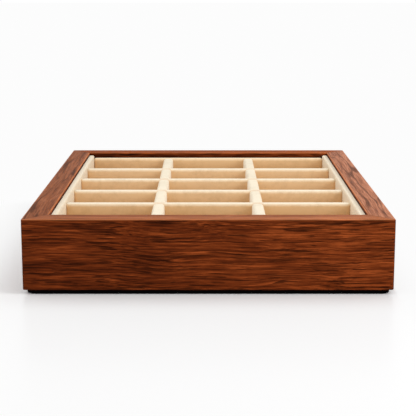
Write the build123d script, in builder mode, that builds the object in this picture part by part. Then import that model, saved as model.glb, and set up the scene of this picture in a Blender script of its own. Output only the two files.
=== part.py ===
from build123d import *
import os

# Wooden jewellery tray: a mitred hardwood frame on a felt-covered base, and a padded insert of open
# compartments that drops into it. Millimetres, +Z up, the front rail faces -Y, and the origin is the
# centre of the underside.

# Hardwood frame
tray_width = 240.0
tray_length = 300.0
rail_height = 46.7
rail_thickness = 16.0
corner_radius = 1.5
eased_radius = 0.8

# Base: a plywood panel in a rabbet under the rails, and a felt sheet that hides it
rabbet_width = 6.0
panel_thickness = 5.0
panel_clearance = 0.2
felt_thickness = 3.0
felt_inset = 2.0
felt_corner_radius = 6.0

# Loose plywood splines that cross the mitres, let in from below
spline_width = 9.0
spline_thickness = 3.0
spline_height = 34.0
spline_clearance = 0.1
spline_chamfer = 0.6

# Narrow-crown staples, driven up through the panel into the rails
staple_crown = 5.7
staple_leg = 14.0
staple_wire_width = 1.2
staple_wire_thickness = 0.9
staple_point = 0.6
staple_clearance = 0.05
staple_end_distance = 48.0
short_rail_staple_count = 3
long_rail_staple_count = 4

# Floor of the insert, and how its padded walls stand in the frame
insert_clearance = 0.5
liner_drop = 4.0
floor_board_thickness = 2.0
floor_foam_thickness = 3.0
floor_cover_thickness = 1.0
fabric_clearance = 0.2

# Side liners, thinner than the other padded walls and nearer to the rim
side_drop = 2.0
side_board_thickness = 2.0
side_cover_thickness = 0.8
side_shoulder_radius = 1.2

# Dividers, and the front and back liners, which are made like the row dividers. The row dividers
# stand evenly about the middle, and the first and last compartments take the rest of the length.
row_board_thickness = 2.0
column_board_thickness = 4.0
divider_cover_thickness = 2.0
divider_shoulder_radius = 2.0
compartment_columns = 3
compartment_rows = 5
row_pitch = 49.0
lap_clearance = 0.1

# Heights of the stacked layers
frame_bottom = felt_thickness
rim_height = frame_bottom + rail_height
insert_bottom = frame_bottom + panel_thickness
board_top = insert_bottom + floor_board_thickness
foam_top = board_top + floor_foam_thickness
floor_top = foam_top + floor_cover_thickness
wall_top = rim_height - liner_drop
divider_height = wall_top - floor_top
liner_height = wall_top - board_top
side_liner_height = rim_height - side_drop - board_top
lap_level = floor_top + divider_height / 2

# Plan of the base and the insert
panel_width = tray_width - 2 * (rail_thickness - rabbet_width + panel_clearance)
panel_length = tray_length - 2 * (rail_thickness - rabbet_width + panel_clearance)
insert_width = tray_width - 2 * (rail_thickness + insert_clearance)
insert_length = tray_length - 2 * (rail_thickness + insert_clearance)
side_thickness = side_board_thickness + 2 * side_cover_thickness
row_thickness = row_board_thickness + 2 * divider_cover_thickness
column_thickness = column_board_thickness + 2 * divider_cover_thickness
inner_width = insert_width - 2 * side_thickness
inner_length = insert_length - 2 * row_thickness

# The columns are equal: their pitch is one compartment and one divider
column_pitch = (inner_width + column_thickness) / compartment_columns

ALONG_X = Vector(1, 0, 0)
ALONG_Y = Vector(0, 1, 0)


def save(part, name):
    """Label a finished piece and write its file."""
    part.label = name
    export_step(part, f"parts/{name}.step")


def rail_plane(turn, reach):
    """Plane on a rail's underside: x runs along the rail, y points into the tray."""
    return Plane(Location((0, 0, frame_bottom), (0, 0, turn)) * Location((0, -reach, 0)))


def staple_places(plane, length, count):
    """Where the crowns of a rail's staples lie, in the underside of the panel."""
    ledge_middle = rail_thickness - rabbet_width / 2
    spacing = (length - 2 * staple_end_distance) / (count - 1)
    line = plane.location * Location((0, ledge_middle, 0))
    return [line * spot for spot in GridLocations(spacing, 0, count, 1)]


def build_staple(spare=0.0):
    """A staple standing on its crown, or with a spare width all round, the hole that it fills."""
    top = staple_leg + spare
    with BuildPart() as staple:
        with BuildSketch(Plane.XZ) as outline:
            Rectangle(staple_crown + 2 * spare, top, align=(Align.CENTER, Align.MIN))
            chamfer(outline.vertices().group_by(Axis.Y)[-1], staple_point)
            with Locations((0, staple_wire_thickness + spare)):
                Rectangle(
                    staple_crown - 2 * staple_wire_thickness - 2 * spare,
                    top,
                    align=(Align.CENTER, Align.MIN),
                    mode=Mode.SUBTRACT,
                )
        extrude(amount=staple_wire_width / 2 + spare, both=True)
    return staple.part


def spline_place(length):
    """Middle of the mitre at a rail's right end, square to the mitre."""
    return Location((length / 2 - rail_thickness / 2, rail_thickness / 2, 0), (0, 0, 45))


def build_rail(plane, length, staples):
    """A rail with mitred ends, eased edges, a rabbet, and holes for its splines and staples."""
    inward = Axis(plane.origin, plane.y_dir)
    along = Axis(plane.origin, plane.x_dir)
    tip_x = length / 2 - corner_radius
    inner_x = length / 2 - rail_thickness
    with BuildPart() as rail:
        with BuildSketch(plane):
            with BuildLine():
                left_tip = CenterArc((-tip_x, corner_radius), corner_radius, -135, 45)
                right_tip = CenterArc((tip_x, corner_radius), corner_radius, -90, 45)
                Line(left_tip @ 1, right_tip @ 0)
                Polyline(
                    left_tip @ 0,
                    (-inner_x, rail_thickness),
                    (inner_x, rail_thickness),
                    right_tip @ 1,
                )
            make_face()
        extrude(amount=rail_height)
        outer_face = rail.faces().sort_by(inward)[0]
        inner_face = rail.faces().sort_by(inward)[-1]
        inner_arris = inner_face.edges().filter_by(along).sort_by(Axis.Z)[-1]
        fillet([*outer_face.edges().filter_by(along), inner_arris], eased_radius)
        with BuildSketch(plane):
            with Locations((0, rail_thickness)):
                Rectangle(length, 2 * rabbet_width)
        extrude(amount=panel_thickness, mode=Mode.SUBTRACT)
        with BuildSketch(plane):
            with Locations(spline_place(length)):
                Rectangle(spline_width + 2 * spline_clearance, spline_thickness + 2 * spline_clearance)
            mirror(about=Plane.YZ)
        extrude(amount=spline_height + spline_clearance, mode=Mode.SUBTRACT)
        with Locations(*staples):
            add(staple_hole, mode=Mode.SUBTRACT)
    return rail.part


def build_spline(plane, length):
    """A loose spline that fills the grooves at a rail's right end and in its neighbour."""
    with BuildPart() as spline:
        with BuildSketch(plane):
            with Locations(spline_place(length)):
                Rectangle(spline_width, spline_thickness)
        extrude(amount=spline_height)
        chamfer(spline.faces().sort_by(Axis.Z)[-1].edges(), spline_chamfer)
    return spline.part


def section_plane(centre, direction):
    """Upright plane across a wall: x runs across the wall, y points up."""
    return Plane(origin=centre, x_dir=Axis.Z.direction.cross(direction), z_dir=direction)


def cut_laps(level, opens):
    """Cut the half-lap slots at every crossing, open below or above the lap."""
    with Locations((0, 0, level)):
        with GridLocations(column_pitch, row_pitch, compartment_columns - 1, compartment_rows - 1):
            Box(
                column_thickness + 2 * lap_clearance,
                row_thickness + 2 * lap_clearance,
                divider_height,
                align=(Align.CENTER, Align.CENTER, opens),
                mode=Mode.SUBTRACT,
            )


def build_wall(name, section, size, board_thickness, cover_thickness, shoulder_radius, lap=None):
    """A stiff board and the padded cover that is folded over its top and down both faces."""
    length, height = size
    thickness = board_thickness + 2 * cover_thickness
    shoulder = min(shoulder_radius, 0.49 * thickness)
    with BuildPart() as board:
        with BuildSketch(section):
            Rectangle(board_thickness, height - cover_thickness, align=(Align.CENTER, Align.MIN))
        extrude(amount=length / 2, both=True)
        if lap:
            cut_laps(*lap)
    save(board.part, f"{name}_board")
    with BuildPart() as cover:
        with BuildSketch(section) as outline:
            Rectangle(thickness, height, align=(Align.CENTER, Align.MIN))
            fillet(outline.vertices().group_by(Axis.Y)[-1], shoulder)
            Rectangle(
                board_thickness,
                height - cover_thickness,
                align=(Align.CENTER, Align.MIN),
                mode=Mode.SUBTRACT,
            )
        extrude(amount=length / 2, both=True)
        if lap:
            cut_laps(*lap)
    save(cover.part, f"{name}_cover")


def build_sheet(name, width, length, bottom, thickness):
    """A flat rectangular layer centred in the tray."""
    with BuildPart() as sheet:
        with BuildSketch(Plane.XY.offset(bottom)):
            Rectangle(width, length)
        extrude(amount=thickness)
    save(sheet.part, name)


os.makedirs("parts", exist_ok=True)

# Hardwood rails, each with the spline at its right end and the staples along its ledge
staple_hole = build_staple(staple_clearance)
all_staple_places = []
for side, corner, turn, length, reach, staple_count in (
    ("front", "front_right", 0, tray_width, tray_length / 2, short_rail_staple_count),
    ("right", "back_right", 90, tray_length, tray_width / 2, long_rail_staple_count),
    ("back", "back_left", 180, tray_width, tray_length / 2, short_rail_staple_count),
    ("left", "front_left", 270, tray_length, tray_width / 2, long_rail_staple_count),
):
    plane = rail_plane(turn, reach)
    staples = staple_places(plane, length, staple_count)
    all_staple_places += staples
    save(build_rail(plane, length, staples), f"{side}_rail")
    save(build_spline(plane, length), f"corner_spline_{corner}")

# Bottom panel, with the holes that the staples leave in it
with BuildPart() as bottom_panel:
    with BuildSketch(Plane.XY.offset(frame_bottom)):
        Rectangle(panel_width, panel_length)
    extrude(amount=panel_thickness)
    with Locations(*all_staple_places):
        add(staple_hole, mode=Mode.SUBTRACT)
save(bottom_panel.part, "bottom_panel")

# Staples, one group of equal pieces
staple = build_staple()
with BuildPart() as panel_staples:
    with Locations(*all_staple_places):
        add(staple)
save(panel_staples.part, "panel_staples")

# Felt sheet under the tray
with BuildPart() as base_felt:
    with BuildSketch():
        RectangleRounded(tray_width - 2 * felt_inset, tray_length - 2 * felt_inset, felt_corner_radius)
    extrude(amount=felt_thickness)
save(base_felt.part, "base_felt")

# Floor of the insert: the board carries all of it, and the foam and its cover lie inside the liners
floor_width = inner_width - 2 * fabric_clearance
floor_length = inner_length - 2 * fabric_clearance
build_sheet("insert_floor_board", insert_width, insert_length, insert_bottom, floor_board_thickness)
build_sheet("floor_foam", floor_width, floor_length, board_top, floor_foam_thickness)
build_sheet("floor_cover", floor_width, floor_length, foam_top, floor_cover_thickness)

# Liners: the side pair runs the full length, and the front and back pair stands between them
across_length = inner_width - 2 * fabric_clearance
for name, sign in (("left", -1), ("right", 1)):
    centre = (sign * (insert_width - side_thickness) / 2, 0, board_top)
    build_wall(
        f"{name}_liner",
        section_plane(centre, ALONG_Y),
        (insert_length, side_liner_height),
        side_board_thickness,
        side_cover_thickness,
        side_shoulder_radius,
    )
for name, sign in (("front", -1), ("back", 1)):
    centre = (0, sign * (insert_length - row_thickness) / 2, board_top)
    build_wall(
        f"{name}_liner",
        section_plane(centre, ALONG_X),
        (across_length, liner_height),
        row_board_thickness,
        divider_cover_thickness,
        divider_shoulder_radius,
    )

# Row dividers, numbered from the front, slotted from below at each column divider
for row in range(1, compartment_rows):
    centre = (0, (row - compartment_rows / 2) * row_pitch, floor_top)
    build_wall(
        f"row_divider_{row}",
        section_plane(centre, ALONG_X),
        (across_length, divider_height),
        row_board_thickness,
        divider_cover_thickness,
        divider_shoulder_radius,
        lap=(lap_level, Align.MAX),
    )

# Column dividers, numbered from the left, slotted from above at each row divider
for column in range(1, compartment_columns):
    centre = ((column - compartment_columns / 2) * column_pitch, 0, floor_top)
    build_wall(
        f"column_divider_{column}",
        section_plane(centre, ALONG_Y),
        (inner_length - 2 * fabric_clearance, divider_height),
        column_board_thickness,
        divider_cover_thickness,
        divider_shoulder_radius,
        lap=(lap_level - lap_clearance, Align.MIN),
    )
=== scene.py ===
"""Looks of a wooden jewelry tray with a padded insert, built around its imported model.

Metres, +Z up. The front rail faces -Y, and the origin is the middle of the underside.
"""

import logging
import math
from collections.abc import Callable, Iterable
from dataclasses import dataclass
from enum import Enum
from typing import ClassVar

import bmesh
import bpy
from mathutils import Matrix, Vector


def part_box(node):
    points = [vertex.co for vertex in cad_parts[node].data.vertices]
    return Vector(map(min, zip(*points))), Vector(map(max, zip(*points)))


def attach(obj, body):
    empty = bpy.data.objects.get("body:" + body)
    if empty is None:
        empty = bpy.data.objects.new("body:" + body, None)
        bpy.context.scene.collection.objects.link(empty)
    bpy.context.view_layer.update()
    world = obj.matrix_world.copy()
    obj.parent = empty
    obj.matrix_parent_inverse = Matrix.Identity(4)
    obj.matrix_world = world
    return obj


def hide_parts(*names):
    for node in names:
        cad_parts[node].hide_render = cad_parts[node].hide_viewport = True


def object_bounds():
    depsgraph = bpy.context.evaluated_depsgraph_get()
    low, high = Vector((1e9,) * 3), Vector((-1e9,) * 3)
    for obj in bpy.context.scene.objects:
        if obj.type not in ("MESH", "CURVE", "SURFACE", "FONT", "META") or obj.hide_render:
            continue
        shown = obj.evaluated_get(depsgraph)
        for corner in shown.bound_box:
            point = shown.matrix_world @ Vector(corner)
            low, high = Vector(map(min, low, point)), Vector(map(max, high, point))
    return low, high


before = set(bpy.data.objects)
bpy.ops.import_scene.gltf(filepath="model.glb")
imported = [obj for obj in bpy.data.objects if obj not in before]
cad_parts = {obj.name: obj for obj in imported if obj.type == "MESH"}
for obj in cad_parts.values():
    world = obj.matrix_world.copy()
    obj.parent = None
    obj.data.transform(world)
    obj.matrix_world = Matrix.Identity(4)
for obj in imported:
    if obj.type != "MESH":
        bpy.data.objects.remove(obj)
CAD_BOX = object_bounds()

LOG = logging.getLogger("jewelry_tray")
MM = 0.001

Colour = tuple[float, float, float]
Stops = tuple[tuple[float, Colour], ...]


def from_screen(red: int, green: int, blue: int) -> Colour:
    """Linear colour of three screen values from 0 to 255.

    Args:
        red: Screen value of red.
        green: Screen value of green.
        blue: Screen value of blue.

    Returns:
        The three linear values, from 0 to 1.
    """
    shares = (value / 255 for value in (red, green, blue))
    return tuple(s / 12.92 if s <= 0.04045 else ((s + 0.055) / 1.055) ** 2.4 for s in shares)


def tinted(colour: Colour, shares: Colour) -> Colour:
    """A colour with each of its parts times a share."""
    return tuple(part * share for part, share in zip(colour, shares))


def stops(shades: Stops, tone: Colour = (1.0, 1.0, 1.0)) -> Stops:
    """A ramp's stops in linear colours, from stops in screen values and a tone."""
    return tuple((place, tinted(from_screen(*shade), tone)) for place, shade in shades)


# Shader graphs


class Value:
    """The output of a node. Arithmetic on it adds Math nodes."""

    def __init__(self, graph: "Graph", socket: bpy.types.NodeSocket) -> None:
        """Keep the graph that new nodes go to, and the socket itself."""
        self.graph = graph
        self.socket = socket

    def math(self, operation: str, *others: "Value | float") -> "Value":
        """Add a Math node.

        Args:
            operation: The node's operation.
            others: Its second and third values.

        Returns:
            The node's result.
        """
        inputs = dict(enumerate((self, *others)))
        return self.graph.node("ShaderNodeMath", {"operation": operation}, inputs)

    def __add__(self, other: "Value | float") -> "Value":
        """This plus another."""
        return self.math("ADD", other)

    __radd__ = __add__

    def __sub__(self, other: "Value | float") -> "Value":
        """This minus another."""
        return self.math("SUBTRACT", other)

    def __rsub__(self, other: float) -> "Value":
        """A number minus this."""
        return self.graph.node("ShaderNodeMath", {"operation": "SUBTRACT"}, {0: other, 1: self})

    def __mul__(self, other: "Value | float") -> "Value":
        """This times another."""
        return self.math("MULTIPLY", other)

    def __pow__(self, other: "Value | float") -> "Value":
        """This to a power."""
        return self.math("POWER", other)

    def size(self) -> "Value":
        """This without its sign."""
        return self.math("ABSOLUTE")

    def least(self, other: "Value | float") -> "Value":
        """The lower of this and another."""
        return self.math("MINIMUM", other)

    def most(self, other: "Value | float") -> "Value":
        """The higher of this and another."""
        return self.math("MAXIMUM", other)

    def step(self, low: float, high: float) -> "Value":
        """A smooth step of this value.

        Args:
            low: Where the step gives 0.
            high: Where the step gives 1. It may be the lower of the two.

        Returns:
            The step, from 0 to 1.
        """
        inputs = {"Value": self, "From Min": low, "From Max": high}
        settings = {"interpolation_type": "SMOOTHSTEP"}
        return self.graph.node("ShaderNodeMapRange", settings, inputs)


class Graph:
    """The node graph of one material or of the world."""

    def __init__(self, owner: bpy.types.Material | bpy.types.World) -> None:
        """Empty the owner's graph.

        Args:
            owner: The material or world.
        """
        owner.use_nodes = True
        self.tree = owner.node_tree
        self.tree.nodes.clear()

    def node(
        self,
        kind: str,
        settings: dict[str, object] | None = None,
        inputs: dict[str | int, object] | None = None,
        output: str | int = 0,
    ) -> Value:
        """Add a node.

        Args:
            kind: The node's type.
            settings: Its settings, or a ramp's stops under "stops".
            inputs: Values or links of its sockets, by name or number.
            output: The output that is wanted.

        Returns:
            That output.
        """
        made = self.tree.nodes.new(kind)
        for name, setting in (settings or {}).items():
            if name == "stops":
                self._set_stops(made.color_ramp, setting)
            else:
                setattr(made, name, setting)
        for name, given in (inputs or {}).items():
            if isinstance(given, Value):
                self.tree.links.new(given.socket, made.inputs[name])
            else:
                made.inputs[name].default_value = given
        return Value(self, made.outputs[output]) if made.outputs else None

    @staticmethod
    def _set_stops(ramp: bpy.types.ColorRamp, wanted: Stops) -> None:
        """Give a ramp its stops.

        Args:
            ramp: The ramp, with its two first stops.
            wanted: Place and colour of each stop, in order.
        """
        while len(ramp.elements) < len(wanted):
            ramp.elements.new(1.0)
        for element, (place, colour) in zip(ramp.elements, wanted):
            element.position = place
            element.color = (*colour, 1.0)

    def place(self, turn: float = 0.0) -> Value:
        """A point on the piece, in millimetres.

        Args:
            turn: Degrees that the pattern is turned about the upright axis.

        Returns:
            The point.
        """
        point = self.node("ShaderNodeTexCoord", output="Object")
        turned = (0.0, 0.0, math.radians(turn))
        inputs = {"Vector": point, "Rotation": turned, "Scale": (1 / MM, 1 / MM, 1 / MM)}
        return self.node("ShaderNodeMapping", inputs=inputs)

    def split(self, vector: Value) -> tuple[Value, Value, Value]:
        """The three parts of a vector."""
        parts = self.node("ShaderNodeSeparateXYZ", inputs={0: vector}).socket.node
        return tuple(Value(self, socket) for socket in parts.outputs)

    def joined(self, x: object, y: object, z: object) -> Value:
        """A vector of three parts."""
        return self.node("ShaderNodeCombineXYZ", inputs={0: x, 1: y, 2: z})

    def noise(
        self,
        vector: Value,
        scale: Colour | float,
        detail: float = 2.0,
        roughness: float = 0.5,
        output: str = "Fac",
    ) -> Value:
        """Soft noise on a point in millimetres.

        Args:
            vector: The point.
            scale: Features to the millimetre, one number or one for each axis.
            detail: Finer layers.
            roughness: Strength of the finer layers.
            output: "Fac" or "Color".

        Returns:
            The noise, about 0.5 in the middle.
        """
        scales = scale if isinstance(scale, tuple) else (scale, scale, scale)
        times = {"operation": "MULTIPLY"}
        scaled = self.node("ShaderNodeVectorMath", times, {0: vector, 1: scales})
        inputs = {"Vector": scaled, "Scale": 1.0, "Detail": detail, "Roughness": roughness}
        return self.node("ShaderNodeTexNoise", None, inputs, output)

    def ramp(self, factor: Value, wanted: Stops) -> Value:
        """A colour that follows a value through stops."""
        return self.node("ShaderNodeValToRGB", {"stops": wanted}, {"Fac": factor}, "Color")

    def mix(self, factor: Value | float, first: object, second: object, way: str = "MIX") -> Value:
        """Mix two colours.

        Args:
            factor: Share of the second colour.
            first: A colour or a link.
            second: A colour or a link.
            way: The blend type.

        Returns:
            The mixed colour.
        """
        colours = [c if isinstance(c, Value) else (*c, 1.0) for c in (first, second)]
        settings = {"data_type": "RGBA", "blend_type": way}
        return self.node("ShaderNodeMix", settings, {0: factor, 6: colours[0], 7: colours[1]}, 2)

    def bump(self, height: Value, depth: float, strength: float) -> Value:
        """A bumped normal.

        Args:
            height: Height from 0 to 1.
            depth: Millimetres that a height of 1 stands for.
            strength: Share of the bump.

        Returns:
            The normal.
        """
        inputs = {"Height": height, "Distance": depth * MM, "Strength": strength}
        return self.node("ShaderNodeBump", inputs=inputs, output="Normal")

    def surface(
        self,
        colour: Value,
        normal: Value,
        roughness: Value | float,
        specular: float = 0.5,
        others: dict[str, object] | None = None,
    ) -> None:
        """End the graph in a Principled shader.

        Args:
            colour: Its base colour.
            normal: Its bumped normal.
            roughness: Its roughness.
            specular: Its specular level.
            others: Values of its other sockets, by name.
        """
        inputs = {"Base Color": colour, "Normal": normal, "Roughness": roughness}
        inputs |= {"Specular IOR Level": specular} | (others or {})
        self.end(self.node("ShaderNodeBsdfPrincipled", inputs=inputs))

    def end(self, shader: Value, kind: str = "ShaderNodeOutputMaterial") -> None:
        """Link a shader to the graph's output."""
        self.node(kind, inputs={"Surface": shader})


# Finishes


class Grain(Enum):
    """Which way the grain of a rail runs."""

    ALONG_X = "x"
    ALONG_Y = "y"


class Finish:
    """A finish that can dress pieces."""

    made: ClassVar[dict["Finish", bpy.types.Material]] = {}
    name: str

    def draw(self, graph: Graph) -> None:
        """Build the finish's nodes in the material's graph."""
        raise NotImplementedError

    def material(self) -> bpy.types.Material:
        """The finish as a material, made once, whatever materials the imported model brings.

        Returns:
            The material.
        """
        if self not in self.made:
            self.made[self] = bpy.data.materials.new(f"{self.name}_finish")
            self.draw(Graph(self.made[self]))
        return self.made[self]

    def dress(self, piece: bpy.types.Object) -> None:
        """Put the finish on every face of a piece."""
        piece.data.materials.clear()
        piece.data.materials.append(self.material())


BODY_SHADES = (
    (0.36, (62, 25, 10)),
    (0.44, (88, 36, 14)),
    (0.52, (114, 50, 20)),
    (0.64, (164, 79, 36)),
)
# The paler top shades are a painted highlight of the light from above.
LIT_TOP_SHADES = ((0.36, (112, 62, 42)), (0.46, (150, 86, 54)), (0.62, (190, 116, 78)))
WAVE_REACH = 9.0


@dataclass(frozen=True)
class Fibre:
    """The bent grain of a piece of wood."""

    graph: Graph
    point: Value

    def strands(
        self, along: float, across: float, detail: float = 2.0, roughness: float = 0.5
    ) -> Value:
        """Noise drawn out along the grain, with its features to the millimetre both ways."""
        return self.graph.noise(self.point, (along, across, across), detail, roughness)

    def veins(
        self, along: float, across: float, detail: float, faded: float, full: float
    ) -> Value:
        """Thin veins, from 0 to 1, where such noise is near its middle."""
        return (self.strands(along, across, detail) - 0.5).size().step(faded, full)


@dataclass(frozen=True)
class Hardwood(Finish):
    """Oiled dark hardwood with wavy bands and fine dark lines along the grain.

    The rail's outer and inner faces and its top are given in millimetres from the tray's middle
    and from the ground, so that the eased edges come out paler, partly rubbed by use and partly a
    painted highlight, the inner face darker with painted shade, and the mitres with a fine line.
    The top of the padded wall beside it is given too, because a band of painted shadow lies on the
    wood there, at the gap to the insert.
    """

    name: str
    grain: Grain
    offset: Colour
    outer: float
    end: float
    width: float
    top: float
    seat: float
    # Tint of the top: on the left rail it is painted shade, on the right rail a painted sheen.
    tone: Colour

    def draw(self, graph: Graph) -> None:
        """Build the bands, streaks, pores, the edges' rubbing and satin finish, and painted light:
        a paler top, a highlight on the arris, and shade and shadow on the inner face.

        Args:
            graph: The material's graph.
        """
        x, y, up = graph.split(graph.place())
        along, across = (x, y) if self.grain is Grain.ALONG_X else (y, x)
        fibre = self._fibre(graph, along, across, up)
        bands = fibre.strands(0.012, 0.16)
        streaks = fibre.strands(0.028, 0.80, 3.0, 0.6)
        lines = fibre.strands(0.055, 1.7, 3.0, 0.6)
        pores = fibre.strands(0.18, 4.2, 2.0, 0.6)
        threads = fibre.strands(0.026, 0.74, 2.0, 0.65)
        tone = bands * 0.18 + streaks * 0.42 + lines * 0.40
        # Painted light: the front and back rails darken towards their left end and lighten to the
        # right.
        if self.grain is Grain.ALONG_X:
            tone = tone + (along.step(-self.end, self.end) - 0.5) * 0.058
        body = graph.ramp(tone, stops(BODY_SHADES))
        # Painted highlight: the top is paler than the faces, in the rail's tone.
        pale = graph.ramp(tone, stops(LIT_TOP_SHADES, self.tone))
        on_top = up.step(self.top - 0.5, self.top - 0.05)
        colour = graph.mix(on_top, body, pale)
        dark = from_screen(30, 11, 6)
        calm = 1.0 - on_top * (0.5 if self.grain is Grain.ALONG_X else 0.8)
        colour = graph.mix(threads.step(0.42, 0.375) * calm * 0.75, colour, dark)
        colour = graph.mix(self._veins(fibre) * calm, colour, dark)
        colour = graph.mix(pores.step(0.42, 0.32) * calm * 0.4, colour, dark)
        if self.grain is Grain.ALONG_Y:
            colour = graph.mix(self._bold_veins(fibre) * on_top, colour, dark)
        # Painted shade: the inner face below the eased edge is darker, most on the front and back
        # rails.
        shade = 0.40 if self.grain is Grain.ALONG_X else 0.15
        colour = graph.mix(self._inner_face(across, up) * shade, colour, dark)
        # Paler orange edges, partly rubbed by use and partly a painted highlight on the eased
        # arris.
        rub_and_highlight = self._paler_edges(across, up) * (0.35 + lines * 0.4 + bands.step(0.42, 0.56) * 0.3)
        colour = graph.mix(rub_and_highlight.least(1.0) * 0.85, colour, from_screen(236, 146, 92))
        colour = graph.mix(self._mitre(along, across) * 0.8, colour, dark)
        # Painted shadow: a near-black band on the inner face where the gap to the insert lies.
        colour = graph.mix(self._gap_shadow_band(across, up) * 0.92, colour, from_screen(36, 13, 5))
        normal = graph.bump(lines * 0.45 + pores.step(0.30, 0.44) * 0.55, 0.08, 0.5)
        roughness = 0.42 + (lines - 0.5) * 0.2 + (0.5 - bands) * 0.1
        graph.surface(colour, normal, roughness, specular=0.005)

    def _fibre(self, graph: Graph, along: Value, across: Value, up: Value) -> Fibre:
        """Bend straight grain into slow waves and small swirls.

        Args:
            graph: The material's graph.
            along: Place along the grain.
            across: Place across the rail.
            up: Height.

        Returns:
            The bent grain.
        """
        shift_x, shift_y, shift_z = self.offset
        x, y, z = along + shift_x, across + shift_y, up + shift_z
        point = graph.joined(x, y, z)
        wave = graph.split(graph.noise(point, (0.012, 0.02, 0.02), 1.0, 0.5, "Color"))
        swirl = graph.split(graph.noise(point, (0.05, 0.10, 0.10), 2.0, 0.5, "Color"))
        bent_y, bent_z = (
            straight + (slow - 0.5) * WAVE_REACH + (small - 0.5)
            for straight, slow, small in zip((y, z), wave, swirl)
        )
        return Fibre(graph, graph.joined(x, bent_y, bent_z))

    @staticmethod
    def _veins(fibre: Fibre) -> Value:
        """Find the long thin dark veins, and the short ones between them.

        Args:
            fibre: The bent grain.

        Returns:
            Where the veins are, from 0 to 1.
        """
        broken = fibre.strands(0.028, 0.30)
        long_veins = fibre.veins(0.009, 0.17, 2.0, 0.030, 0.006) * broken.step(0.36, 0.52) * 0.55
        short_veins = fibre.veins(0.030, 0.42, 2.0, 0.040, 0.010) * broken.step(0.54, 0.62) * 0.45
        return long_veins.most(short_veins)

    @staticmethod
    def _bold_veins(fibre: Fibre) -> Value:
        """Find the few bold veins that run far along a side rail's top, from 0 to 1."""
        broken = fibre.strands(0.009, 0.10, 1.0)
        return fibre.veins(0.0045, 0.14, 1.0, 0.036, 0.008) * broken.step(0.30, 0.50) * 0.55

    def _gap_shadow_band(self, across: Value, up: Value) -> Value:
        """Find the band of painted shadow on the rail's inner face, at the gap beside the insert's
        top.

        Args:
            across: The place across the rail, in millimetres.
            up: The height, in millimetres.

        Returns:
            Where the band is, from 0 to 1.
        """
        inside = (across.size() - (self.outer - self.width)).step(0.12, 0.02)
        below_seat = up.step(self.seat + 0.30, self.seat)
        return inside * below_seat * up.step(self.seat - 2.2, self.seat - 1.4)

    def _inner_face(self, across: Value, up: Value) -> Value:
        """Where the rail's inner face is, below its eased edge, from 0 to 1."""
        inside = (across.size() - (self.outer - self.width)).step(0.30, 0.10)
        return inside * up.step(self.top - 0.7, self.top - 1.3)

    def _paler_edges(self, across: Value, up: Value) -> Value:
        """Find the paler edges of the rim, partly rubbed by use and partly a painted highlight on
        the eased arris. The front rail's front edge is paler furthest in.

        Args:
            across: Place across the rail.
            up: Height.

        Returns:
            Where the edges are paler, from 0 to 1.
        """
        paling_of = {Grain.ALONG_X: (0.36, 0.52, 0.45), Grain.ALONG_Y: (0.0, 0.30, 0.80)}
        front, outer, inner = paling_of[self.grain]
        rub_and_highlight = (across + self.outer).step(13.0, 0.5) * front
        for edge, paling in ((self.outer, outer), (self.outer - self.width, inner)):
            side, rise = across.size() - edge, up - self.top
            rub_and_highlight = rub_and_highlight.most((side * side + rise * rise).step(1.3, 0.3) * paling)
        return rub_and_highlight * up.step(self.top - 0.70, self.top - 0.30)

    def _mitre(self, along: Value, across: Value) -> Value:
        """Where the fine line of the mitre is, from 0 to 1."""
        gap = (self.outer - across.size()) - (self.end - along.size())
        return gap.size().step(0.32, 0.10)


class VelvetLight(Enum):
    """Painted light on a velvet piece, by where it stands: the colours of its upright faces and
    its paler fold, and its sheen.
    """

    # Painted light: the rows' faces are shaded, the first row's and the end liners' deeper; the
    # columns', the floor's and the side liners' faces are nearly as pale as their folds.
    SHADED_FACES = ((234, 197, 151), (252, 239, 214), 0.25)
    DEEP_SHADED_FACES = ((225, 187, 140), (252, 239, 214), 0.25)
    SHADED_END_LINERS = ((225, 187, 140), (255, 229, 193), 0.25)
    LIT_FACES = ((251, 238, 216), (252, 239, 214), 0.25)
    LIT_SIDE_FACES = ((250, 229, 197), (255, 237, 207), 0.9)


SHEEN_TINT = (1.0, 0.93, 0.80, 1.0)
CREASE_SHADE = from_screen(230, 192, 158)


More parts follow.
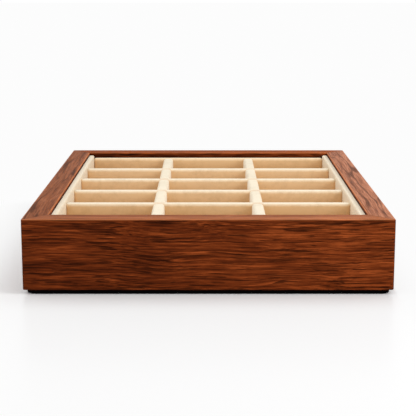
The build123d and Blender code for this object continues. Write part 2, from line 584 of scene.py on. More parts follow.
@dataclass(frozen=True)
class Velvet(Finish):
    """Cream velvet with a short brushed nap, with painted light: paler on its fold at the top,
    darker towards the foot of its faces, and shaded in the creased folds where dividers cross.

    The fold's height and the places of the dividers that cross it are in millimetres.
    """

    nap: VelvetLight
    crest_height: float
    columns: tuple[float, ...]
    rows: tuple[float, ...]

    @property
    def name(self) -> str:
        """The finish's name, from its nap and height."""
        return f"cream_velvet_{self.nap.name.lower()}_{self.crest_height:.0f}"

    def draw(self, graph: Graph) -> None:
        """Build the painted light and shade of the faces and fold, the nap's mottled shades, its
        fine pile and its sheen.

        Args:
            graph: The material's graph.
        """
        point = graph.place()
        up = graph.split(point)[2]
        brushed = graph.noise(point, (0.035, 0.035, 0.06), 3.0, 0.6)
        mottle = graph.noise(point, 0.24, 3.0, 0.6)
        pile = graph.noise(point, 2.6, 2.0, 0.7)
        ruffle = (mottle - 0.5) * 1.6
        # Painted light: the fold at the top is paler, and the faces darken towards their foot.
        face, lit_crest = (from_screen(*shade) for shade in self.nap.value[:2])
        low = tinted(face, (0.88, 0.80, 0.70))
        fall = up - self.crest_height
        side = graph.mix((fall + ruffle).step(-12.0, -3.0), low, face)
        shoulder = tuple((part + other) / 2 for part, other in zip(face, lit_crest))
        side = graph.mix((fall + ruffle * 0.7).step(-2.6, -0.8), side, shoulder)
        colour = graph.mix((fall + ruffle * 0.2).step(-0.85, -0.2), side, lit_crest)
        # Painted shade in the creased folds where the dividers cross.
        crease_shade = self._crease_shade(graph, point) * (mottle.step(0.30, 0.62) * 0.35 + 0.22)
        colour = graph.mix(crease_shade, colour, CREASE_SHADE)
        shade = brushed * 0.40 + mottle * 0.35 + pile * 0.25
        grey = graph.ramp(shade, [(0.32, (0.86, 0.84, 0.81)), (0.52, (1.0, 1.0, 1.0))])
        colour = graph.mix(1.0, colour, grey, "MULTIPLY")
        normal = graph.bump(pile * 0.7 + mottle * 0.3, 0.12, 0.5)
        weight = self.nap.value[2]
        sheen = {"Sheen Weight": weight, "Sheen Roughness": 0.5, "Sheen Tint": SHEEN_TINT}
        graph.surface(colour, normal, roughness=0.92, specular=0.05, others=sheen)

    def _crease_shade(self, graph: Graph, point: Value) -> Value:
        """Find the painted shade of the creased folds where the dividers cross.

        Args:
            graph: The material's graph.
            point: The point on the piece, in millimetres.

        Returns:
            Where the creases are, from 0 to 1.
        """
        x, y, _ = graph.split(point)
        nearest = []
        for place, lines in ((x, self.columns), (y, self.rows)):
            gap = (place - lines[0]).size()
            for line in lines[1:]:
                gap = gap.least((place - line).size())
            nearest.append(gap)
        return nearest[0].step(4.8, 2.8) * nearest[1].step(3.9, 1.2)


FELT_SHADES = (
    (0.3, (0.0010, 0.0010, 0.0011)),
    (0.6, (0.0026, 0.0025, 0.0026)),
    (0.8, (0.0075, 0.0072, 0.0072)),
)


@dataclass(frozen=True)
class Felt(Finish):
    """Black wool felt with matted fibres."""

    name: str = "black_felt"

    def draw(self, graph: Graph) -> None:
        """Build the matted fibres.

        Args:
            graph: The material's graph.
        """
        point = graph.place()
        mat = graph.noise(point, 0.9, 4.0, 0.7)
        clump = graph.noise(point, 0.12, 3.0, 0.6)
        hair = graph.noise(point, (4.5, 0.9, 3.0), 2.0, 0.6)
        shade = mat * 0.5 + clump * 0.2 + hair * 0.3
        colour = graph.ramp(shade, FELT_SHADES)
        graph.surface(colour, graph.bump(mat * 0.6 + hair * 0.4, 0.10, 0.4), 0.95, specular=0.0)


@dataclass(frozen=True)
class Plywood(Finish):
    """Birch plywood: pale faces with a fine grain, and edges that show the plies."""

    name: str
    layer_turn: float
    ply: float
    upright: bool = True

    def draw(self, graph: Graph) -> None:
        """Build the face grain and the alternating plies.

        Args:
            graph: The material's graph.
        """
        point = graph.place(self.layer_turn)
        x, y, z = graph.split(point)
        through = z if self.upright else y
        layer = (through * (math.pi / self.ply)).math("SINE").step(-0.25, 0.25)
        long_grain = graph.noise(point, (0.03, 0.9, 0.9), 4.0, 0.6)
        cross_grain = graph.noise(point, (0.9, 0.03, 0.9), 4.0, 0.6)
        fleck = graph.noise(point, (0.3, 2.4, 2.4), 2.0, 0.6)
        pale = stops(((0.3, (188, 150, 104)), (0.7, (226, 196, 150))))
        deep = stops(((0.3, (150, 112, 72)), (0.7, (192, 154, 108))))
        colour = graph.mix(layer, graph.ramp(cross_grain, deep), graph.ramp(long_grain, pale))
        colour = graph.mix(fleck.step(0.42, 0.32) * 0.35, colour, from_screen(120, 80, 46))
        normal = graph.bump(long_grain * 0.6 + fleck * 0.4, 0.08, 0.6)
        graph.surface(colour, normal, 0.62 + (long_grain - 0.5) * 0.2, specular=0.3)


@dataclass(frozen=True)
class Steel(Finish):
    """Galvanised staple wire with drawing marks."""

    name: str = "staple_steel"

    def draw(self, graph: Graph) -> None:
        """Build the drawing marks and the dull bloom of zinc.

        Args:
            graph: The material's graph.
        """
        point = graph.place()
        marks = graph.noise(point, (5.0, 5.0, 0.6), 3.0, 0.6)
        bloom = graph.noise(point, 1.1, 3.0, 0.6)
        colour = graph.ramp(bloom, [(0.3, (0.40, 0.41, 0.42)), (0.7, (0.62, 0.63, 0.63))])
        normal = graph.bump(marks, 0.02, 0.5)
        graph.surface(colour, normal, 0.32 + bloom * 0.2, others={"Metallic": 1.0})


@dataclass(frozen=True)
class Greyboard(Finish):
    """Pressed grey bookbinder's board with flecks of fibre."""

    name: str = "greyboard"

    def draw(self, graph: Graph) -> None:
        """Build the pulp's clouds and its dark and pale flecks.

        Args:
            graph: The material's graph.
        """
        point = graph.place()
        pulp = graph.noise(point, 0.18, 4.0, 0.6)
        fleck = graph.noise(point, 1.9, 2.0, 0.6)
        colour = graph.ramp(pulp, [(0.3, (0.150, 0.138, 0.122)), (0.7, (0.215, 0.200, 0.178))])
        colour = graph.mix(fleck.step(0.66, 0.74), colour, (0.42, 0.40, 0.36))
        colour = graph.mix(fleck.step(0.33, 0.26), colour, (0.05, 0.045, 0.04))
        graph.surface(colour, graph.bump(fleck * 0.6 + pulp * 0.4, 0.06, 0.6), 0.88, specular=0.2)


@dataclass(frozen=True)
class Foam(Finish):
    """Fine open-cell foam."""

    name: str = "foam"

    def draw(self, graph: Graph) -> None:
        """Build the cells and their yellowed walls.

        Args:
            graph: The material's graph.
        """
        point = graph.place()
        cells = graph.node("ShaderNodeTexVoronoi", inputs={"Vector": point, "Scale": 1.6})
        tint = graph.noise(point, 0.05, 2.0)
        colour = graph.ramp(cells, [(0.0, (0.45, 0.40, 0.28)), (0.6, (0.78, 0.73, 0.58))])
        colour = graph.mix(tint * 0.3, colour, (0.72, 0.62, 0.42), "MULTIPLY")
        graph.surface(colour, graph.bump(cells, 0.3, 0.6), 0.95)


@dataclass(frozen=True)
class StudioFloor(Finish):
    """White studio floor that keeps the tray's shadow and a faint reflection."""

    name: str = "studio_floor"
    near_glow: float = 0.55
    lit_side: float = 40.0

    def draw(self, graph: Graph) -> None:
        """Build the white floor, plainer to the camera than to the light.

        Args:
            graph: The material's graph.
        """
        camera = graph.node("ShaderNodeLightPath", output="Is Camera Ray")
        x, y, _ = graph.split(graph.place())
        high = Vector(CAD_BOX[1]) / MM
        beside = (x.size() - high.x).most(0.0)
        ahead = (y.size() - high.y).most(0.0)
        # Painted light: to the camera, the floor glows brighter beyond the tray's right side, the
        # key lamp's side.
        lit = (x - high.x).step(0.0, 4.0) * self.lit_side
        away = (beside * beside + ahead * ahead) ** 0.5 + lit
        around = (beside + (y - high.y).most(0.0) + lit).step(14.0, 75.0)
        far_glow = around.most(away.step(150.0, 900.0)) * (1.0 - self.near_glow)
        glow_share = away.step(3.0, 42.0) * self.near_glow + far_glow
        white = {"Base Color": (0.95, 0.95, 0.95, 1.0), "Roughness": 0.28}
        white["Specular IOR Level"] = 0.12
        floor = graph.node("ShaderNodeBsdfPrincipled", inputs=white)
        bright = {"Color": (0.975, 0.975, 0.975, 1.0), "Strength": 1.0}
        glow = graph.node("ShaderNodeEmission", inputs=bright)
        shares = {0: camera * glow_share, 1: floor, 2: glow}
        graph.end(graph.node("ShaderNodeMixShader", inputs=shares))


# Modelling


CLOTH = {
    "quality": 6,
    "mass": 0.02,
    "air_damping": 2.0,
    "use_pressure": True,
    "uniform_pressure_force": 4.0,
    "tension_stiffness": 12.0,
    "compression_stiffness": 12.0,
    "shear_stiffness": 6.0,
    "bending_stiffness": 0.4,
    "vertex_group_mass": "held",
    "pin_stiffness": 1.0,
}
CLOTH_STEPS = 20


def spread(low: float, high: float, step: float) -> list[float]:
    """Evenly spaced places between two ends, without the ends.

    Args:
        low: The first end.
        high: The other end.
        step: About how far apart the places are.

    Returns:
        The places, in order.
    """
    count = max(1, round((high - low) / step))
    return [low + (high - low) * index / count for index in range(1, count)]


class Bench:
    """A piece on the bench: it is picked by place and shaped with edit-mode operators."""

    def __init__(self, piece: bpy.types.Object) -> None:
        """Keep the piece that is being shaped."""
        self.piece = piece

    @classmethod
    def block(cls, name: str, low: Vector, high: Vector) -> "Bench":
        """Start from a block between two corners.

        Args:
            name: Name of the new piece.
            low: Lowest corner.
            high: Highest corner.

        Returns:
            The bench with the block.
        """
        bpy.ops.object.select_all(action="DESELECT")
        bpy.ops.mesh.primitive_cube_add(size=1.0, location=(low + high) / 2, scale=high - low)
        return cls._named(name)

    @classmethod
    def plate(cls, name: str, low: Vector, high: Vector) -> "Bench":
        """Start from a flat plate that faces up.

        Args:
            name: Name of the new piece.
            low: Lowest corner.
            high: Highest corner, at the same height.

        Returns:
            The bench with the plate.
        """
        bpy.ops.object.select_all(action="DESELECT")
        bpy.ops.mesh.primitive_plane_add(size=1.0, location=(low + high) / 2)
        bpy.context.object.scale = (high.x - low.x, high.y - low.y, 1.0)
        return cls._named(name)

    @classmethod
    def _named(cls, name: str) -> "Bench":
        """Name the new piece and put its place into its mesh.

        Args:
            name: Its name.

        Returns:
            The bench with the piece.
        """
        piece = bpy.context.object
        piece.name = piece.data.name = name
        bpy.ops.object.transform_apply(location=True, rotation=True, scale=True)
        return cls(piece)

    def __enter__(self) -> "Bench":
        """Go into edit mode with nothing picked.

        Returns:
            The bench.
        """
        self.grab()
        bpy.ops.object.mode_set(mode="EDIT")
        bpy.ops.mesh.select_all(action="DESELECT")
        return self

    def __exit__(self, *_: object) -> None:
        """Leave edit mode."""
        bpy.ops.object.mode_set(mode="OBJECT")

    def grab(self) -> None:
        """Make the piece the only selected and the active one."""
        bpy.ops.object.select_all(action="DESELECT")
        self.piece.select_set(True)
        bpy.context.view_layer.objects.active = self.piece

    def pick_all(self) -> None:
        """Pick everything."""
        bpy.ops.mesh.select_all(action="SELECT")

    def pick_faces(self, test: Callable[[Vector, Vector], bool]) -> None:
        """Pick some faces, and no others.

        Args:
            test: Tells from a face's middle and normal whether it is picked.
        """
        bpy.ops.mesh.select_mode(type="FACE")
        mesh = bmesh.from_edit_mesh(self.piece.data)
        for face in mesh.faces:
            face.select_set(test(face.calc_center_median(), face.normal))
        bmesh.update_edit_mesh(self.piece.data)

    def pick_edges(self, test: Callable[[Vector, Vector], bool]) -> None:
        """Pick some edges, and no others.

        Args:
            test: Tells from an edge's two ends whether it is picked.
        """
        bpy.ops.mesh.select_mode(type="EDGE")
        mesh = bmesh.from_edit_mesh(self.piece.data)
        for edge in mesh.edges:
            edge.select_set(test(edge.verts[0].co, edge.verts[1].co))
        bmesh.update_edit_mesh(self.piece.data)

    def cut(self, axis: int, places: Iterable[float]) -> None:
        """Cut edges into the whole piece across an axis.

        Args:
            axis: 0, 1 or 2 for X, Y or Z.
            places: Where the cuts are on that axis.
        """
        across = [0.0, 0.0, 0.0]
        across[axis] = 1.0
        for place in places:
            self.pick_all()
            bpy.ops.mesh.bisect(plane_co=[place * share for share in across], plane_no=across)

    def cut_grid(
        self, axis: int, ends: tuple[float, float], edges: list[float], step: float
    ) -> None:
        """Cut an even grid across an axis, with cuts at given edges.

        Args:
            axis: 0, 1 or 2 for X, Y or Z.
            ends: The piece's two ends on that axis.
            edges: Where the given edges are, in order.
            step: About how far apart the cuts are.
        """
        marks = [ends[0], *edges, ends[1]]
        for start, stop in zip(marks, marks[1:]):
            self.cut(axis, spread(start, stop, step))
        self.cut(axis, edges)

    def delete_faces(self) -> None:
        """Delete the picked faces, and the edges and points that only they held."""
        bpy.ops.mesh.delete(type="FACE")

    def bevel(self, width: float, segments: int) -> None:
        """Round the picked edges."""
        bpy.ops.mesh.bevel(offset=width, segments=segments, profile=0.5, affect="EDGES")

    def apply(self, kind: str, **settings: object) -> None:
        """Add a modifier and apply it.

        Args:
            kind: The modifier's type.
            settings: Its settings, by name.
        """
        self.grab()
        modifier = self.piece.modifiers.new(kind.title(), kind)
        for name, setting in settings.items():
            setattr(modifier, name, setting)
        bpy.ops.object.modifier_apply(modifier=modifier.name)

    def smooth(self, angle: float) -> None:
        """Shade the piece smooth except across edges sharper than an angle in degrees."""
        self.grab()
        bpy.ops.object.shade_smooth_by_angle(angle=math.radians(angle))

    def thicken(self, thickness: float) -> None:
        """Make a thin skin thick on its inner side, and round it a little.

        Args:
            thickness: Its thickness in metres.
        """
        inwards = {"thickness": thickness, "offset": -1.0}
        self.apply("SOLIDIFY", **inwards, use_even_offset=True, use_rim=True)
        self.apply("SUBSURF", levels=1, render_levels=1)
        self.smooth(50.0)

    def settle(self, place: Vector, turn: float = 0.0) -> None:
        """Turn and move the piece, and put both into its mesh.

        Args:
            place: Where its origin goes.
            turn: Degrees that it is turned about the upright axis.
        """
        self.grab()
        self.piece.rotation_euler.z = math.radians(turn)
        self.piece.location = place
        bpy.ops.object.transform_apply(location=True, rotation=True, scale=True)

    def copy(self, name: str) -> "Bench":
        """Copy the piece with its mesh.

        Args:
            name: Name of the copy.

        Returns:
            The bench with the copy.
        """
        twin = self.piece.copy()
        twin.data = self.piece.data.copy()
        twin.name = twin.data.name = name
        bpy.context.scene.collection.objects.link(twin)
        return Bench(twin)

    def put_in_order(self) -> None:
        """Sort the faces by their corners, whose order edit mode leaves to chance.

        The cloth follows that order, and would swell a little differently in every run.
        """
        mesh = self.piece.data
        places = [point.co.copy() for point in mesh.vertices]
        faces = []
        for face in mesh.polygons:
            corners = list(face.vertices)
            first = corners.index(min(corners))
            faces.append(corners[first:] + corners[:first])
        mesh.clear_geometry()
        mesh.from_pydata(places, [], sorted(faces))

    def swell(self, held: Callable[[Vector], float], cap: float) -> None:
        """Let air pressure swell the piece as cloth, and cap how far its points move.

        Args:
            held: How firmly a point is held, from 0 to 1.
            cap: Metres that no point goes past.
        """
        piece = self.piece
        self.grab()
        rest = [point.co.copy() for point in piece.data.vertices]
        group = piece.vertex_groups.new(name="held")
        for index, place in enumerate(rest):
            group.add([index], held(place), "REPLACE")
        modifier = piece.modifiers.new("Swell", "CLOTH")
        for name, setting in CLOTH.items():
            setattr(modifier.settings, name, setting)
        modifier.settings.effector_weights.gravity = 0.0
        modifier.collision_settings.use_collision = False
        for step in range(1, CLOTH_STEPS + 1):
            bpy.context.scene.frame_set(step)
        bpy.ops.object.modifier_apply(modifier=modifier.name)
        bpy.context.scene.frame_set(1)
        furthest = 0.0
        for point, place in zip(piece.data.vertices, rest):
            moved = point.co - place
            furthest = max(furthest, moved.length)
            point.co = place + moved * (cap / (cap + moved.length))
        piece.vertex_groups.clear()
        LOG.info("%s swelled up to %.2f mm before the cap", piece.name, furthest / MM)


# The tray


@dataclass
class TrayFrame:
    """The hardwood frame on its felt-covered base."""

    felt_edge: float = 0.4 * MM
    felt_corner: float = 6.0 * MM
    body: str = "tray"

    def build(self) -> None:
        """Dress the rails, splines, panel and staples, and make the felt."""
        self.dress_rails()
        self.dress_base()
        self.build_felt()

    def dress_rails(self) -> None:
        """Give every rail its own cut of the wood, with the grain along it."""
        # The last value tints each rail's top: the left rail's darker tint is painted shade, and
        # the right rail's paler, whiter tint is a painted sheen.
        cuts = {
            "front_rail": (Grain.ALONG_X, (310.0, 40.0, 0.0), (1.0, 1.0, 1.0)),
            "back_rail": (Grain.ALONG_X, (-520.0, 210.0, 90.0), (0.94, 0.62, 0.20)),
            "left_rail": (Grain.ALONG_Y, (130.0, -340.0, 60.0), (0.83, 0.85, 0.85)),
            "right_rail": (Grain.ALONG_Y, (-760.0, 420.0, -70.0), (1.30, 1.60, 2.10)),
        }
        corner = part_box("back_rail")[1] / MM
        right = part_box("right_rail")[1] / MM
        width = (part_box("back_rail")[1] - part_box("back_rail")[0]).y / MM
        for node, (grain, offset, tone) in cuts.items():
            outer, end = (corner.y, right.x) if grain is Grain.ALONG_X else (right.x, corner.y)
            name = f"hardwood_{node}"
            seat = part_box(node.replace("rail", "liner_cover"))[1].z / MM
            finish = Hardwood(name, grain, offset, outer, end, width, corner.z, seat, tone)
            finish.dress(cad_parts[node])
            LOG.info("dressed %s", node)

    def dress_base(self) -> None:
        """Dress the plywood and the staples."""
        Plywood("panel_plywood", 0.0, 1.0).dress(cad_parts["bottom_panel"])
        for corner in ("front_left", "front_right", "back_left", "back_right"):
            turn = 45.0 if corner in ("front_left", "back_right") else -45.0
            finish = Plywood(f"spline_plywood_{corner}", turn, 1.0, False)
            finish.dress(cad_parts[f"corner_spline_{corner}"])
        Steel().dress(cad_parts["panel_staples"])
        LOG.info("dressed the panel, splines and staples")

    def build_felt(self) -> None:
        """Make the felt sheet with its rounded corners and soft cut edges."""
        low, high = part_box("base_felt")
        bench = Bench.block("felt_sheet", low, high)
        with bench:
            bench.pick_edges(lambda a, b: abs(a.z - b.z) > 0.001)
            bench.bevel(self.felt_corner, 8)
            bench.pick_faces(lambda place, normal: abs(normal.z) > 0.9)
            bpy.ops.mesh.region_to_loop()
            bench.bevel(self.felt_edge, 2)
        bench.smooth(50.0)
        Felt().dress(bench.piece)
        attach(bench.piece, self.body)
        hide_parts("base_felt")
        LOG.info("made %s", bench.piece.name)


class Crossing(Enum):
    """Where a wall is notched for the walls that cross it."""

    NONE = 0
    FROM_BELOW = 1
    FROM_ABOVE = 2


@dataclass
class PaddedWall:
    """A velvet cover folded over a stiff board, modelled along X about the middle of its foot."""

    name: str
    size: Vector
    cover: float
    shoulder: float
    crossings: tuple[float, ...] = ()
    crossing: Crossing = Crossing.NONE
    crossing_width: float = 0.0
    crossing_height: float = 0.0
    held_side: int = 0
    held_shoulder: float = 0.0
    closed_ends: bool = False
    grid: float = 3.0 * MM
    swelling: float = 0.45 * MM

    def build(self) -> Bench:
        """Model the folded cover, let it swell, and give it its thickness.

        Returns:
            The bench with the cover.
        """
        half = self.size / 2
        low = Vector((-half.x, -half.y, 0.0))
        high = Vector((half.x, half.y, self.size.z))
        bench = Bench.block(self.name, low, high)
        with bench:
            self._fold(bench, high)
            self._cut_grid(bench)
            self._notch(bench)
        bench.put_in_order()
        bench.swell(self._held, self.swelling)
        bench.thicken(self.cover)
        return bench

    def _fold(self, bench: Bench, high: Vector) -> None:
        """Open the block's foot, and its ends unless they are closed, and round both shoulders.

        Args:
            bench: The bench with the block.
            high: The block's highest corner.
        """
        bench.pick_faces(
            lambda _, normal: normal.z < -0.9 or (abs(normal.x) > 0.9 and not self.closed_ends)
        )
        bench.delete_faces()
        top = high.z - 0.1 * MM
        for side in (-1, 1):
            bench.pick_edges(lambda a, b: min(a.z, b.z) > top and min(a.y * side, b.y * side) > MM)
            held = self.held_shoulder and side == self.held_side
            bench.bevel(self.held_shoulder if held else min(self.shoulder, 0.49 * self.size.y), 5)

    def _cut_grid(self, bench: Bench) -> None:
        """Cut the cover into small squares, with cuts at the edges of every notch.

        Args:
            bench: The bench with the cover.
        """
        end = self.size.x / 2
        reach = self.crossing_width / 2
        edges = sorted(place + side * reach for place in self.crossings for side in (-1, 1))
        bench.cut_grid(0, (-end, end), edges, self.grid)
        shoulder_foot = self.size.z - self.shoulder
        level = self.crossing_height or shoulder_foot / 2
        lower = spread(0.0, level, self.grid)
        bench.cut(2, [*lower, level, *spread(level, shoulder_foot, self.grid)])
        bench.cut(1, [0.0])

    def _notch(self, bench: Bench) -> None:
        """Take out the faces inside the notches.

        Args:
            bench: The bench with the cover.
        """
        reach = self.crossing_width / 2
        level = self.crossing_height

        def in_notch(place: Vector, _: Vector) -> bool:
            """Tell whether a face lies in a notch.

            Args:
                place: The face's middle.

            Returns:
                True if it does.
            """
            if not any(abs(place.x - crossing) < reach for crossing in self.crossings):
                return False
            return place.z < level if self.crossing is Crossing.FROM_BELOW else place.z > level

        if self.crossing is not Crossing.NONE:
            bench.pick_faces(in_notch)
            bench.delete_faces()

    def _held(self, place: Vector) -> float:
        """How firmly the cover is held at a point: at its foot, its ends and its crossings.

        Args:
            place: The point.

        Returns:
            1 where it is held and 0 where it is free.
        """
        near = 0.6 * MM
        if place.z < near or abs(place.x) > self.size.x / 2 - near:
            return 1.0
        if self.held_side and place.y * self.held_side > 0.2 * self.size.y:
            return 1.0
        reach = self.crossing_width / 2 + near
        return float(any(abs(place.x - crossing) < reach for crossing in self.crossings))


@dataclass
class PaddedInsert:
    """The velvet insert: liners at the four sides, dividers, and a soft floor."""

    # The axis across each kind of divider, and how many there are.
    dividers: ClassVar[dict[str, tuple[int, int]]] = {"row": (1, 4), "column": (0, 2)}
    body: str = "insert"
    divider_cover: float = 1.9 * MM
    side_cover: float = 0.8 * MM
    divider_shoulder: float = 2.0 * MM
    side_shoulder: float = 1.2 * MM
    side_reach: float = 0.3 * MM
    end_reach: float = 0.15 * MM
    floor_rise: float = 0.9 * MM
    floor_grid: float = 4.0 * MM
    lap_room: float = 0.1 * MM

    def build(self) -> None:
        """Make the covers and the floor, and dress the boards."""
        self.build_dividers("row", "column", Crossing.FROM_BELOW)
        self.build_dividers("column", "row", Crossing.FROM_ABOVE)
        self.build_end_liners()
        self.build_side_liners()
        self.build_floor()
        self.dress_boards()

    def finish_soft(self, bench: Bench, node: str, nap: VelvetLight) -> None:
        """Dress a padded cover and say what it is.

        Args:
            bench: The bench with the cover.
            node: The node that it replaces.
            nap: The painted light of its faces and fold, and its sheen.
        """
        places = [tuple(place / MM for place in self.middles(kind)) for kind in ("column", "row")]
        Velvet(nap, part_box(node)[1].z / MM, *places).dress(bench.piece)
        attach(bench.piece, self.body)
        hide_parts(node)
        LOG.info("made %s", bench.piece.name)

    def middles(self, kind: str) -> tuple[float, ...]:
        """Where a kind of divider stands on the axis across it.

        Args:
            kind: The kind of divider.

        Returns:
            The middle of each, in order.
        """
        axis, count = self.dividers[kind]
        boxes = (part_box(f"{kind}_divider_{number}_cover") for number in range(1, count + 1))
        return tuple((low[axis] + high[axis]) / 2 for low, high in boxes)

    def notch(self, kind: str) -> float:
        """How wide the notch for a kind of divider is: its thickness and a little room."""
        low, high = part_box(f"{kind}_divider_1_cover")
        return (high - low)[self.dividers[kind][0]] + 2 * self.lap_room

    def build_dividers(self, kind: str, other: str, crossing: Crossing) -> None:
        """Model one divider's cover, and copy it to its kind, each second one turned.

        Args:
            kind: The kind of divider.
            other: The kind that crosses it.
            crossing: From which side it is notched there.
        """
        axis = self.dividers[kind][0]
        low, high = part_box(f"{kind}_divider_1_cover")
        size = high - low
        wall = PaddedWall(
            f"{kind}_cover",
            Vector((size[1 - axis] + 2 * self.end_reach, size[axis], size.z)),
            self.divider_cover,
            self.divider_shoulder,
            self.middles(other),
            crossing,
            crossing_width=self.notch(other),
            crossing_height=size.z / 2,
        )
        model = wall.build()
        for number, middle in enumerate(self.middles(kind), 1):
            place = Vector((0.0, 0.0, low.z))
            place[axis] = middle
            bench = model.copy(f"{kind}_velvet_{number}")
            bench.settle(place, 180.0 * (number % 2) - 90.0 * (1 - axis))
            # Painted light: the first row's face is shaded deeper, and the columns' faces are
            # fold-pale.
            nap = VelvetLight.DEEP_SHADED_FACES if number == 1 else VelvetLight.SHADED_FACES
            nap = nap if kind == "row" else VelvetLight.LIT_FACES
            self.finish_soft(bench, f"{kind}_divider_{number}_cover", nap)
        bpy.data.objects.remove(model.piece)

    def build_end_liners(self) -> None:
        """Model the back liner's cover, and turn a copy of it to the front."""
        low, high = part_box("back_liner_cover")
        wall = PaddedWall(
            "end_cover",
            high - low + Vector((2 * self.end_reach, 0.0, 0.0)),
            self.divider_cover,
            self.divider_shoulder,
            held_side=1,
            closed_ends=True,
        )
        model = wall.build()
        for side, turn in (("back", 0.0), ("front", 180.0)):
            low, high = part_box(f"{side}_liner_cover")
            bench = model.copy(f"{side}_liner_velvet")
            bench.settle(Vector((0.0, (low.y + high.y) / 2, low.z)), turn)
            # Painted shade: the end liners' faces are shaded deep, and their folds warmer and
            # darker.
            self.finish_soft(bench, f"{side}_liner_cover", VelvetLight.SHADED_END_LINERS)
        bpy.data.objects.remove(model.piece)

    def build_side_liners(self) -> None:
        """Model the right liner's cover, and turn a copy of it to the left.

        The nap of both fills a little of the gap to the wood.
        """
        low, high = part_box("right_liner_cover")
        size = high - low
        wall = PaddedWall(
            "side_cover",
            Vector((size.y + 2 * self.end_reach, size.x + self.side_reach, size.z)),
            self.side_cover,
            self.side_shoulder,
            held_side=-1,
            held_shoulder=0.3 * MM,
            closed_ends=True,
            swelling=0.3 * MM,
        )
        model = wall.build()
        for side, turn, way in (("right", 90.0, 1), ("left", -90.0, -1)):
            low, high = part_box(f"{side}_liner_cover")
            bench = model.copy(f"{side}_liner_velvet")
            middle = (low.x + high.x + way * self.side_reach) / 2
            bench.settle(Vector((middle, 0.0, low.z)), turn)
            # Painted light: the side liners' faces are nearly as pale as their folds.
            self.finish_soft(bench, f"{side}_liner_cover", VelvetLight.LIT_SIDE_FACES)
        bpy.data.objects.remove(model.piece)

    def build_floor(self) -> None:
        """Make the velvet floor, puffed in every compartment, and the foam under it."""
        low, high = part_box("floor_cover")
        top = Vector((low.x, low.y, high.z))
        bench = Bench.plate("floor_velvet", top, high)
        columns, rows = self.middles("column"), self.middles("row")
        feet = (self.notch("column") / 2, self.notch("row") / 2)
        with bench:
            for axis, places in enumerate((columns, rows)):
                edges = sorted(place + side * feet[axis] for place in places for side in (-1, 1))
                bench.cut_grid(axis, (top[axis], high[axis]), edges, self.floor_grid)

        def held(place: Vector) -> float:
            """Hold the floor at its rim and under the dividers.

            Args:
                place: A point of the floor.

            Returns:
                How firmly it is held: 1 there, and 0 elsewhere.
            """
            under_column = any(abs(place.x - x) < feet[0] + 0.1 * MM for x in columns)
            under_row = any(abs(place.y - y) < feet[1] + 0.1 * MM for y in rows)
            if under_column or under_row:
                return 1.0
            rim = min(place.x - top.x, high.x - place.x, place.y - top.y, high.y - place.y)
            return 1.0 if rim < 0.5 * MM else 0.0

        bench.swell(held, self.floor_rise)
        self.build_foam(bench)
        bench.thicken(high.z - low.z)
        self.finish_soft(bench, "floor_cover", VelvetLight.LIT_FACES)

    def build_foam(self, floor: Bench) -> None:
        """Fill the room between the floor's velvet and the board with foam.

        Args:
            floor: The velvet's upper face, before it has its thickness.
        """
        low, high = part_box("floor_foam")
        cover_low, cover_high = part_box("floor_cover")
        bench = floor.copy("foam_sheet")
        bench.settle(Vector((0.0, 0.0, cover_low.z - cover_high.z)))
        with bench:
            bench.pick_all()
            drop = {"value": (0, 0, low.z - high.z)}
            bpy.ops.mesh.extrude_region_move(TRANSFORM_OT_translate=drop)
            foot = (0, 0, low.z)
            bpy.ops.transform.resize(value=(1, 1, 0), center_override=foot, orient_type="GLOBAL")
            bench.pick_all()
            bpy.ops.mesh.normals_make_consistent(inside=False)
        bench.smooth(40.0)
        Foam().dress(bench.piece)
        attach(bench.piece, self.body)
        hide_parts("floor_foam")
        LOG.info("made %s", bench.piece.name)

    def dress_boards(self) -> None:
        """Dress every stiff board that the velvet hides."""
        for name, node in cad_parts.items():
            if name.endswith("_board"):
                Greyboard().dress(node)


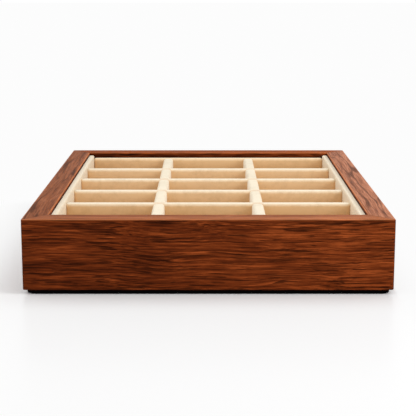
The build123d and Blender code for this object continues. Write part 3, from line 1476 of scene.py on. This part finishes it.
@dataclass
class Studio:
    """Camera, lights, floor and background."""

    lens: float = 100.44
    camera_place: Colour = (-0.0002, -0.8749, 0.2026)
    camera_tilt: float = 78.66
    sensor: float = 36.0
    world_light: float = 0.68
    floor_reach: float = 8.0

    def build(self) -> None:
        """Set up the camera, the light and the floor."""
        self.place_camera()
        self.light_world()
        self.hang_lamp("key", (0.86, -0.42, 0.55), 0.5, 5.6)
        self.hang_lamp("fill", (-0.90, -0.30, 0.45), 0.7, 3.1)
        self.lay_floor()

    def place_camera(self) -> None:
        """Place the camera at the picture's viewing angle."""
        data = bpy.data.cameras.new("camera")
        data.lens = self.lens
        data.sensor_width = self.sensor
        camera = bpy.data.objects.new("camera", data)
        camera.location = self.camera_place
        camera.rotation_euler = (math.radians(self.camera_tilt), 0.0, 0.0)
        bpy.context.scene.collection.objects.link(camera)
        bpy.context.scene.camera = camera

    def light_world(self) -> None:
        """Light everything softly, and show pure white behind."""
        world = bpy.data.worlds.new("studio")
        bpy.context.scene.world = world
        graph = Graph(world)
        path = graph.node("ShaderNodeLightPath").socket.node
        kinds = ("Is Camera Ray", "Is Glossy Ray", "Is Transmission Ray")
        camera, glossy, through = (Value(graph, path.outputs[kind]) for kind in kinds)
        share = camera.most(glossy).most(through)
        strength = share * (1.0 - self.world_light) + self.world_light
        inputs = {"Color": (1.0, 1.0, 1.0, 1.0), "Strength": strength}
        graph.end(graph.node("ShaderNodeBackground", inputs=inputs), "ShaderNodeOutputWorld")

    def hang_lamp(self, name: str, place: Colour, size: float, power: float) -> None:
        """Hang a square soft lamp that points at the tray.

        Args:
            name: Name of the lamp.
            place: Where it hangs.
            size: Width of its square face.
            power: Its power in watts.
        """
        data = bpy.data.lights.new(name, "AREA")
        data.shape = "SQUARE"
        data.size = size
        data.energy = power
        lamp = bpy.data.objects.new(name, data)
        lamp.location = place
        towards = Vector((0.0, 0.0, 0.03)) - Vector(place)
        lamp.rotation_euler = towards.to_track_quat("-Z", "Y").to_euler()
        bpy.context.scene.collection.objects.link(lamp)

    def lay_floor(self) -> None:
        """Lay the studio floor under the tray."""
        corner = Vector((self.floor_reach, self.floor_reach, 0.0))
        bench = Bench.plate("studio_floor", -corner, corner)
        StudioFloor().dress(bench.piece)


def main() -> None:
    """Build the studio, the tray and its insert, and report each piece."""
    logging.basicConfig(level=logging.INFO, format="%(name)s: %(message)s")
    bpy.context.scene.view_settings.view_transform = "Standard"
    Studio().build()
    TrayFrame().build()
    PaddedInsert().build()


if __name__ == "__main__":
    main()
